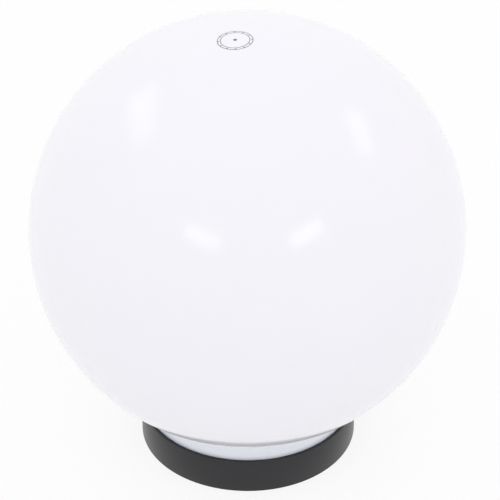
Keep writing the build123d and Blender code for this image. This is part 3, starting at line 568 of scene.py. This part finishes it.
def combined(
    body: bmesh.types.BMesh, tool: bmesh.types.BMesh, how: Combine
) -> bmesh.types.BMesh:
    """Joins a solid to another or cuts it from it.

    Args:
        body: The solid that stays.
        tool: The solid that is joined or cut away.
        how: Which of the two.

    Returns:
        The new solid.
    """
    objects = []
    for name, bm in (("body", body), ("tool", tool)):
        mesh = bpy.data.meshes.new(name)
        bm.to_mesh(mesh)
        bm.free()
        objects.append(bpy.data.objects.new(name, mesh))
        bpy.context.scene.collection.objects.link(objects[-1])
    kept, used = objects
    step = kept.modifiers.new("combine", "BOOLEAN")
    step.operation, step.object, step.solver = how.value, used, "EXACT"
    step.use_self = True
    made = bpy.data.meshes.new_from_object(
        kept.evaluated_get(bpy.context.evaluated_depsgraph_get()))
    result = bmesh.new()
    result.from_mesh(made)
    for piece in objects:
        mesh = piece.data
        bpy.data.objects.remove(piece)
        bpy.data.meshes.remove(mesh)
    bpy.data.meshes.remove(made)
    return result


def shown(bm: bmesh.types.BMesh, name: str, finish: Finish, body: Body,
          stands_for: str | None = None) -> None:
    """Turns a solid into a finished piece that rides on its body.

    Args:
        bm: The solid, which is freed.
        name: The piece's name.
        finish: What it is made of.
        body: The body that it rides on.
        stands_for: The CAD node that it replaces.
    """
    mesh = bpy.data.meshes.new(name)
    bm.to_mesh(mesh)
    bm.free()
    mesh.shade_smooth()
    mesh.set_sharp_from_angle(angle=math.radians(CREASE))
    mesh.materials.append(finish.material())
    piece = bpy.data.objects.new(name, mesh)
    bpy.context.scene.collection.objects.link(piece)
    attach(piece, body.value)
    if stands_for:
        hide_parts(stands_for)
    log.info("%s: %d faces, %s, on %s", name, len(mesh.polygons), finish.name, body.value)


def polished(node: str, finish: Finish, body: Body) -> None:
    """Shows a CAD node by a copy with its vertices merged and its round faces smooth.

    Args:
        node: The node's name.
        finish: What the piece is made of.
        body: The body that it rides on.
    """
    bm = bmesh.new()
    bm.from_mesh(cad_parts[node].data)
    bmesh.ops.remove_doubles(bm, verts=bm.verts[:], dist=WELD)
    shown(bm, node + "_finished", finish, body, node)


# ---------------------------------------------------------------------------
# Sub-assemblies
# ---------------------------------------------------------------------------


@dataclass
class Globe:
    """The opal globe with its stepped neck, its bayonet lugs and the mark on its crown."""

    radius: float = 149.93
    wall: float = 2.43
    centre: float = GLOBE_CENTRE
    neck: float = 75.0
    neck_round: float = 2.5
    step: float = 19.9
    spigot: float = 72.0
    foot: float = 12.1
    step_round: float = 0.8
    lug_radius: float = 75.0
    lug_low: float = 13.1
    lug_high: float = 16.1
    lug_degrees: float = 24.0
    lug_count: int = 4
    lug_steps: int = 12
    arc_steps: int = 72
    fillet_steps: int = 8
    steps: int = 224

    def body(self) -> bmesh.types.BMesh:
        """Draws the wall's outside from the pole down, then its inside back up.

        Returns:
            The closed wall, without lugs.
        """
        hollow_r = self.neck + self.neck_round
        reach = self.radius + self.neck_round
        drop = math.sqrt(reach**2 - hollow_r**2)
        fall = 90 + math.degrees(math.acos(hollow_r / reach))
        section = Section(0, self.centre + self.radius)
        section.arc(0, self.centre, fall, self.arc_steps)
        section.arc(hollow_r, self.centre - drop, 90 - fall, self.fillet_steps)
        section.line(self.neck, self.step, self.step_round)
        section.line(self.spigot, self.step, self.step_round)
        section.line(self.spigot, self.foot).line(self.spigot - self.wall, self.foot)
        section.line(self.spigot - self.wall, self.step + self.wall, self.step_round)
        section.line(self.neck - self.wall, self.step + self.wall, self.step_round)
        section.line(self.neck - self.wall, self.centre - drop)
        section.arc(hollow_r, self.centre - drop, fall - 90, self.fillet_steps)
        section.arc(0, self.centre, -fall, self.arc_steps)
        return section.turned(self.steps)

    def lug(self, number: int) -> bmesh.types.BMesh:
        """One bayonet lug, rooted in the spigot's wall."""
        start = number * FULL_TURN / self.lug_count - self.lug_degrees / 2
        return ring(self.spigot - self.wall / 2, self.lug_radius, self.lug_low, self.lug_high,
                    self.lug_steps, start, self.lug_degrees)

    def build(self) -> None:
        """Makes the globe and its printed mark."""
        parts = [self.body()] + [self.lug(n) for n in range(self.lug_count)]
        shown(gathered(parts), "globe_shell", OPAL, Body.GLOBE, "globe")
        CrownMark(self.radius, self.centre).build()


@dataclass
class CrownMark:
    """A small printed dial mark near the globe's pole: two rings, ticks and a centre dot.

    The rings and the dot are given by their diameters along the surface.
    """

    radius: float
    centre: float
    outer_ring: float = 23.5
    inner_ring: float = 19.6
    line: float = 0.45
    ticks: int = 12
    tick_degrees: float = 4.0
    tick_steps: int = 2
    dot: float = 2.4
    ink: float = 0.012
    lean_left: float = 2.84
    lean_front: float = 3.98
    steps: int = 96
    steps_across: int = 3
    weld: float = 1e-8

    def band(self, inner: float, outer: float, start: float = 0.0,
             degrees: float = FULL_TURN) -> bmesh.types.BMesh:
        """A band of ink between two diameters about the pole, or a part of one.

        Args:
            inner: Inner diameter along the surface.
            outer: Outer diameter along the surface.
            start: Where the part starts, in degrees.
            degrees: How far it reaches.

        Returns:
            The thin solid.
        """
        skin = self.radius + self.ink
        bm = bmesh.new()
        pole = bm.verts.new((0, 0, (self.centre + skin) * MM))
        centre = (0, 0, self.centre * MM)
        turn = math.degrees(1 / skin) / 2
        bmesh.ops.rotate(bm, verts=[pole], cent=centre,
                         matrix=Matrix.Rotation(math.radians(inner * turn), 3, "Y"))
        bmesh.ops.spin(bm, geom=[pole], cent=centre, axis=(0, 1, 0),
                       angle=math.radians((outer - inner) * turn), steps=self.steps_across)
        whole = degrees == FULL_TURN
        bmesh.ops.spin(bm, geom=bm.verts[:] + bm.edges[:], cent=centre, axis=(0, 0, 1),
                       angle=math.radians(degrees), use_merge=whole,
                       steps=self.steps if whole else self.tick_steps)
        bmesh.ops.remove_doubles(bm, verts=bm.verts[:], dist=self.weld)
        bmesh.ops.recalc_face_normals(bm, faces=bm.faces[:])
        if sum(f.normal.z for f in bm.faces) < 0:
            bmesh.ops.reverse_faces(bm, faces=bm.faces[:])
        bmesh.ops.solidify(bm, geom=bm.faces[:], thickness=self.ink * 2 * MM)
        bmesh.ops.rotate(bm, verts=bm.verts[:], cent=centre,
                         matrix=Matrix.Rotation(math.radians(start), 3, "Z"))
        return bm

    def build(self) -> None:
        """Makes the mark and leans it to its place on the crown."""
        middle = (self.outer_ring + self.inner_ring) / 2
        both_sides = 2 * self.line
        parts = [
            self.band(self.outer_ring - both_sides, self.outer_ring),
            self.band(self.inner_ring - both_sides, self.inner_ring),
            self.band(0.0, self.dot),
        ]
        parts += [
            self.band(middle - both_sides, middle + both_sides, n * FULL_TURN / self.ticks,
                      self.tick_degrees)
            for n in range(self.ticks)
        ]
        bm = gathered(parts)
        lean = (Matrix.Rotation(math.radians(self.lean_front), 3, "X")
                @ Matrix.Rotation(math.radians(-self.lean_left), 3, "Y"))
        bmesh.ops.rotate(bm, verts=bm.verts[:], cent=(0, 0, self.centre * MM), matrix=lean)
        shown(bm, "crown_mark", INK, Body.GLOBE)


@dataclass
class BaseCup:
    """The black base: wall, rim, gasket seat, bayonet lips, ribs, bosses and holes.

    A post is given by its place along X and Y, its radius, its foot and its top.
    """

    foot: float = 77.8
    rim: float = 77.5
    wall: float = 75.5
    height: float = 26.0
    rim_round: float = 0.7
    foot_round: float = 0.5
    floor_low: float = 3.0
    floor_high: float = 5.2
    seat_low: float = 7.5
    seat_high: float = 9.7
    web_inner: float = 66.9
    web_outer: float = 68.9
    web_top: float = 11.0
    root: float = 1.0
    overlap: float = 0.5
    lips: int = 4
    lip_inner: float = 72.5
    lip_low: float = 16.5
    lip_high: float = 19.5
    lip_middle: float = 45.0
    lip_degrees: float = 60.0
    lip_steps: int = 30
    stop_low: float = 12.6
    stop_degrees: float = 3.0
    stop_middle: float = -54.5
    stop_steps: int = 2
    ribs: int = 24
    rib: float = 1.6
    rib_low: float = 3.2
    bridge_posts: tuple[tuple[float, ...], ...] = (
        (45.0, 0.0, 5.0, 0.6, 9.0), (-45.0, 0.0, 5.0, 0.6, 9.0))
    block_posts: tuple[tuple[float, ...], ...] = (
        (5.5, 38.0, 3.5, 0.6, 6.2), (-5.5, 38.0, 3.5, 0.6, 6.2))
    pilot: float = 1.5
    pilot_depth: float = 7.0
    fixing_radius: float = 55.0
    fixing_angles: tuple[float, ...] = (30.0, 150.0, 270.0)
    fixing_boss: float = 6.0
    fixing_hole: float = 2.5
    fixing_top: float = 6.6
    cable_y: float = -34.0
    cable_hole: float = 8.0
    drains: tuple[Point, ...] = ((24.0, -44.0), (-24.0, -44.0))
    drain_hole: float = 2.0
    cut_over: float = 5.0
    cable_steps: int = 64
    hole_steps: int = 32
    steps: int = 256

    def bowl(self) -> bmesh.types.BMesh:
        """Turns the floor, the seat and the wall in one section."""
        section = Section(0, self.floor_low).line(self.web_inner, self.floor_low)
        section.line(self.web_inner, 0).line(self.web_outer, 0)
        section.line(self.web_outer, self.seat_low).line(self.wall, self.seat_low)
        section.line(self.wall, 0).line(self.foot, 0, self.foot_round)
        section.line(self.rim, self.height, self.rim_round).line(self.wall, self.height)
        section.line(self.wall, self.seat_high).line(self.web_outer, self.seat_high)
        section.line(self.web_outer, self.web_top).line(self.web_inner, self.web_top)
        section.line(self.web_inner, self.floor_high).line(0, self.floor_high)
        return section.turned(self.steps)

    def additions(self) -> bmesh.types.BMesh:
        """The lips, stops, ribs and bosses, each rooted in the bowl."""
        root = self.wall + self.root
        parts = []
        for n in range(self.lips):
            quarter = n * FULL_TURN / self.lips
            lip = self.lip_middle + quarter - self.lip_degrees / 2
            stop = self.stop_middle + quarter - self.stop_degrees / 2
            parts.append(ring(self.lip_inner, root, self.lip_low, self.lip_high,
                              self.lip_steps, lip, self.lip_degrees))
            parts.append(ring(self.lip_inner, root, self.stop_low, self.lip_low + self.overlap,
                              self.stop_steps, stop, self.stop_degrees))
        rib_high = self.seat_low + self.overlap
        size = Matrix.Diagonal(((self.wall - self.web_outer + 2 * self.root) * MM,
                                self.rib * MM, (rib_high - self.rib_low) * MM, 1))
        place = Matrix.Translation(((self.web_outer + self.wall) / 2 * MM, 0,
                                    (self.rib_low + rib_high) / 2 * MM))
        for n in range(self.ribs):
            bm = bmesh.new()
            turn = Matrix.Rotation(math.radians(n * FULL_TURN / self.ribs), 4, "Z")
            bmesh.ops.create_cube(bm, size=1, matrix=turn @ place @ size)
            parts.append(bm)
        parts += [post(*spot) for spot in self.bridge_posts + self.block_posts]
        parts += [post(x, y, self.fixing_boss, 0, self.fixing_top) for x, y in self.fixings()]
        return gathered(parts)

    def fixings(self) -> list[Point]:
        """Where the three fixing screws go through the floor."""
        return [(self.fixing_radius * math.cos(math.radians(a)),
                 self.fixing_radius * math.sin(math.radians(a))) for a in self.fixing_angles]

    def holes(self) -> bmesh.types.BMesh:
        """The cutters of all the holes in the floor and the bosses."""
        under, above = -self.cut_over, self.floor_high + self.cut_over
        parts = [post(x, y, self.fixing_hole, under, above) for x, y in self.fixings()]
        parts += [post(x, y, self.drain_hole, under, above, self.hole_steps)
                  for x, y in self.drains]
        parts.append(post(0, self.cable_y, self.cable_hole, under, above, self.cable_steps))
        parts += [post(x, y, self.pilot, top - self.pilot_depth, top + self.cut_over,
                       self.hole_steps) for x, y, _, _, top in self.bridge_posts]
        return gathered(parts)

    def build(self) -> None:
        """Makes the cup in one piece."""
        whole = combined(self.bowl(), self.additions(), Combine.JOIN)
        whole = combined(whole, self.holes(), Combine.CUT)
        shown(whole, "base_cup_moulding", MOULDED_BLACK, Body.BASE, "base_cup")


@dataclass
class SoftRings:
    """The gasket under the globe's neck, the foam ring under the base and the grommet.

    A ring is given by its inner and outer radius, its underside and its top.
    """

    gasket: tuple[float, float, float, float] = (69.2, 75.2, 9.7, 11.9)
    gasket_round: float = 0.4
    seal: tuple[float, float, float, float] = (69.1, 75.3, 0.0, 3.2)
    steps: int = 192

    def build(self) -> None:
        """Makes the gasket and the seal, and dresses the grommet."""
        inner, outer, low, high = self.gasket
        section = Section(inner, low).line(outer, low).line(outer, high, self.gasket_round)
        section.line(inner, high, self.gasket_round)
        shown(section.turned(self.steps, closed=True), "gasket_ring", SILICONE, Body.SEAT,
              "globe_gasket")
        shown(ring(*self.seal, self.steps), "foam_ring", FOAM, Body.BASE, "base_seal")
        polished("cable_grommet", RUBBER, Body.BASE)


@dataclass
class Lampholder:
    """The bridge, the ceramic lampholder, its metalwork, the terminal block and the leads."""

    dressed: dict[str, Finish] = field(default_factory=lambda: {
        "lampholder_bracket": ZINC, "bracket_screws": ZINC, "lampholder_body": PORCELAIN,
        "lampholder_shell": BRASS, "shell_rivets": BRASS, "centre_contact": BRONZE,
        "centre_contact_rivet": BRASS, "lampholder_terminals": BRASS,
        "terminal_clamp_screws": ZINC, "lampholder_screws": ZINC, "lampholder_nuts": ZINC,
        "terminal_block": NYLON, "terminal_sleeves": BRASS, "terminal_screws": ZINC,
        "terminal_block_screws": ZINC, "live_lead": BROWN_PVC, "neutral_lead": BLUE_PVC,
        "earth_lead": EARTH_PVC, "bare_conductors": COPPER, "earth_screw": ZINC,
        "earth_washer": ZINC, "earth_ring": BRASS,
    })

    def build(self) -> None:
        """Dresses each piece."""
        for node, finish in self.dressed.items():
            polished(node, finish, Body.BASE)


@dataclass
class Bulb:
    """The LED bulb: contact, insulator, cap, housing, dome and the boards inside."""

    dome: float = 30.0
    dome_wall: float = 1.4
    middle: float = 120.0
    seam: float = 108.0
    arc_steps: int = 40
    steps: int = 128
    dressed: dict[str, Finish] = field(default_factory=lambda: {
        "bulb_cap_insulator": BLACK_GLASS, "bulb_cap": NICKEL, "bulb_housing": BULB_WHITE,
        "led_board": BOARD_WHITE, "led_chips": PHOSPHOR, "driver_board": BOARD_GREEN,
        "driver_parts": COMPONENT,
    })

    def build(self) -> None:
        """Makes the dome and dresses the rest."""
        drop = self.middle - self.seam
        inside = self.dome - self.dome_wall
        fall = 90 + math.degrees(math.asin(drop / self.dome))
        back = 90 + math.degrees(math.asin(drop / inside))
        section = Section(0, self.middle + self.dome)
        section.arc(0, self.middle, fall, self.arc_steps)
        section.line(math.sqrt(inside**2 - drop**2), self.seam)
        section.arc(0, self.middle, -back, self.arc_steps)
        shown(section.turned(self.steps), "frosted_dome", BULB_FROST, Body.BULB, "bulb_dome")
        for node, finish in self.dressed.items():
            polished(node, finish, Body.BULB)
        polished("bulb_contact", NICKEL, Body.TIP)


# ---------------------------------------------------------------------------
# Studio
# ---------------------------------------------------------------------------


@dataclass(frozen=True)
class SoftBox:
    """A rectangular lamp: where it hangs as seen from the globe, and how its long side lies.

    Its length and width are the degrees that it spans there, and its distance is in metres.
    """

    name: str
    toward: tuple[float, float, float]
    along: tuple[float, float, float]
    length: float
    width: float
    brightness: float
    distance: float = 1.6

    def build(self, centre: Vector) -> None:
        """Places the lamp so that it faces the globe.

        Args:
            centre: The globe's centre, in metres.
        """
        data = bpy.data.lights.new(self.name, "AREA")
        data.shape = "RECTANGLE"
        data.size = 2 * self.distance * math.tan(math.radians(self.length / 2))
        data.size_y = 2 * self.distance * math.tan(math.radians(self.width / 2))
        data.energy = self.brightness * math.pi * data.size * data.size_y
        lamp = bpy.data.objects.new(self.name, data)
        way = Vector(self.toward).normalized()
        across = way.cross(Vector(self.along)).normalized()
        face = Matrix((across.cross(way), across, way)).transposed().to_4x4()
        lamp.matrix_world = Matrix.Translation(centre + way * self.distance) @ face
        bpy.context.scene.collection.objects.link(lamp)


@dataclass
class Studio:
    """White sweep, soft lamps and the camera at the photograph's angle."""

    centre: float = GLOBE_CENTRE
    distance: float = 1300.0
    elevation: float = 32.0
    pixels_per_unit: float = 1887.9
    frame_pixels: float = 500.0
    sensor: float = 36.0
    clip_end: float = 100.0
    aim_down: float = 14.65
    aim_right: float = 1.72
    roll: float = -0.18
    ambient_low: float = 0.83
    ambient_high: float = 1.06
    white: str = "#FFFFFF"
    paper: str = "#F5F5F5"
    floor_glow: float = 0.85
    floor_half: float = 12.0
    lamps: tuple[SoftBox, ...] = (
        SoftBox("lamp_left", (-0.67, 0.276, 0.689), (-0.25, -0.954, 0.168),
                length=28.6, width=11.8, brightness=0.97),
        SoftBox("lamp_right", (0.745, 0.151, 0.649), (0.429, -0.858, -0.284),
                length=19.5, width=10.5, brightness=1.25),
        SoftBox("lamp_front_left", (-0.368, -0.821, 0.437), (0.853, -0.485, -0.19),
                length=17.7, width=6.6, brightness=2.25),
        SoftBox("lamp_front_right", (0.476, -0.766, 0.432), (0.769, 0.602, 0.217),
                length=17.3, width=6.8, brightness=2.35),
    )

    def seen_white(self, tree: bpy.types.NodeTree) -> bpy.types.NodeSocket:
        """One where a ray comes from the camera, a reflection or a refraction.

        Args:
            tree: The node tree that needs it.

        Returns:
            The socket.
        """
        path = add_node(tree, "ShaderNodeLightPath")
        pair = add_node(tree, "ShaderNodeMath", links={
            0: path.outputs["Is Camera Ray"], 1: path.outputs["Is Glossy Ray"]},
            operation="MAXIMUM")
        return add_node(tree, "ShaderNodeMath", links={
            0: pair.outputs[0], 1: path.outputs["Is Transmission Ray"]},
            operation="MAXIMUM").outputs[0]

    def sky(self) -> None:
        """White where it is seen, and where it lights, brighter overhead than at the horizon."""
        world = bpy.data.worlds.new("white_studio")
        world.use_nodes = True
        tree = world.node_tree
        tree.nodes.clear()
        way = add_node(tree, "ShaderNodeSeparateXYZ", links={
            0: add_node(tree, "ShaderNodeTexCoord").outputs["Generated"]})
        level = add_node(tree, "ShaderNodeMapRange",
                         {"To Min": self.ambient_low, "To Max": self.ambient_high},
                         {"Value": way.outputs["Z"]})
        lighting = add_node(tree, "ShaderNodeBackground", {"Color": linear(self.white)},
                            {"Strength": level.outputs[0]})
        seen = add_node(tree, "ShaderNodeBackground",
                        {"Color": linear(self.white), "Strength": 1.0})
        both = add_node(tree, "ShaderNodeMixShader", links={
            0: self.seen_white(tree), 1: lighting.outputs[0], 2: seen.outputs[0]})
        add_node(tree, "ShaderNodeOutputWorld", links={"Surface": both.outputs[0]})
        bpy.context.scene.world = world

    def floor(self) -> None:
        """A wide white floor that shows nearly white and keeps a soft shadow."""
        made = bpy.data.materials.new("white_paper_floor")
        made.use_nodes = True
        tree = made.node_tree
        tree.nodes.clear()
        paper = add_node(tree, "ShaderNodeBsdfDiffuse", {"Color": linear(self.paper)})
        glow = add_node(tree, "ShaderNodeEmission",
                        {"Color": linear(self.white), "Strength": 1.0})
        share = add_node(tree, "ShaderNodeMath", {1: self.floor_glow},
                         {0: self.seen_white(tree)}, operation="MULTIPLY")
        both = add_node(tree, "ShaderNodeMixShader", links={
            0: share.outputs[0], 1: paper.outputs[0], 2: glow.outputs[0]})
        add_node(tree, "ShaderNodeOutputMaterial", links={"Surface": both.outputs[0]})
        bm = bmesh.new()
        bmesh.ops.create_grid(bm, x_segments=1, y_segments=1, size=self.floor_half)
        mesh = bpy.data.meshes.new("floor")
        bm.to_mesh(mesh)
        bm.free()
        mesh.materials.append(made)
        sheet = bpy.data.objects.new("floor", mesh)
        bpy.context.scene.collection.objects.link(sheet)

    def camera(self) -> None:
        """The camera, aimed a little below the globe's centre."""
        data = bpy.data.cameras.new("camera")
        data.sensor_width = self.sensor
        data.lens = self.pixels_per_unit * self.sensor / self.frame_pixels
        data.clip_end = self.clip_end
        tilt = math.radians(self.elevation)
        centre = Vector((0, 0, self.centre)) * MM
        back = Vector((0, -math.cos(tilt), math.sin(tilt)))
        up = Vector((0, math.sin(tilt), math.cos(tilt)))
        place = centre + back * self.distance * MM
        aim = centre - up * self.aim_down * MM + Vector((self.aim_right * MM, 0, 0))
        camera = bpy.data.objects.new("camera", data)
        turn = (aim - place).to_track_quat("-Z", "Y").to_matrix().to_4x4()
        level = Matrix.Rotation(math.radians(self.roll), 4, "Z")
        camera.matrix_world = Matrix.Translation(place) @ turn @ level
        bpy.context.scene.collection.objects.link(camera)
        bpy.context.scene.camera = camera

    def build(self) -> None:
        """Sets up the world, the floor, the lamps and the camera."""
        bpy.context.scene.view_settings.view_transform = "Standard"
        self.sky()
        self.floor()
        for lamp in self.lamps:
            lamp.build(Vector((0, 0, self.centre)) * MM)
        self.camera()


def main() -> None:
    """Builds the light piece by piece, then the studio."""
    logging.basicConfig(level=logging.INFO, format="%(message)s")
    for assembly in (Globe(), BaseCup(), SoftRings(), Lampholder(), Bulb(), Studio()):
        assembly.build()
        log.info("%s done", type(assembly).__name__)


if __name__ == "__main__":
    main()
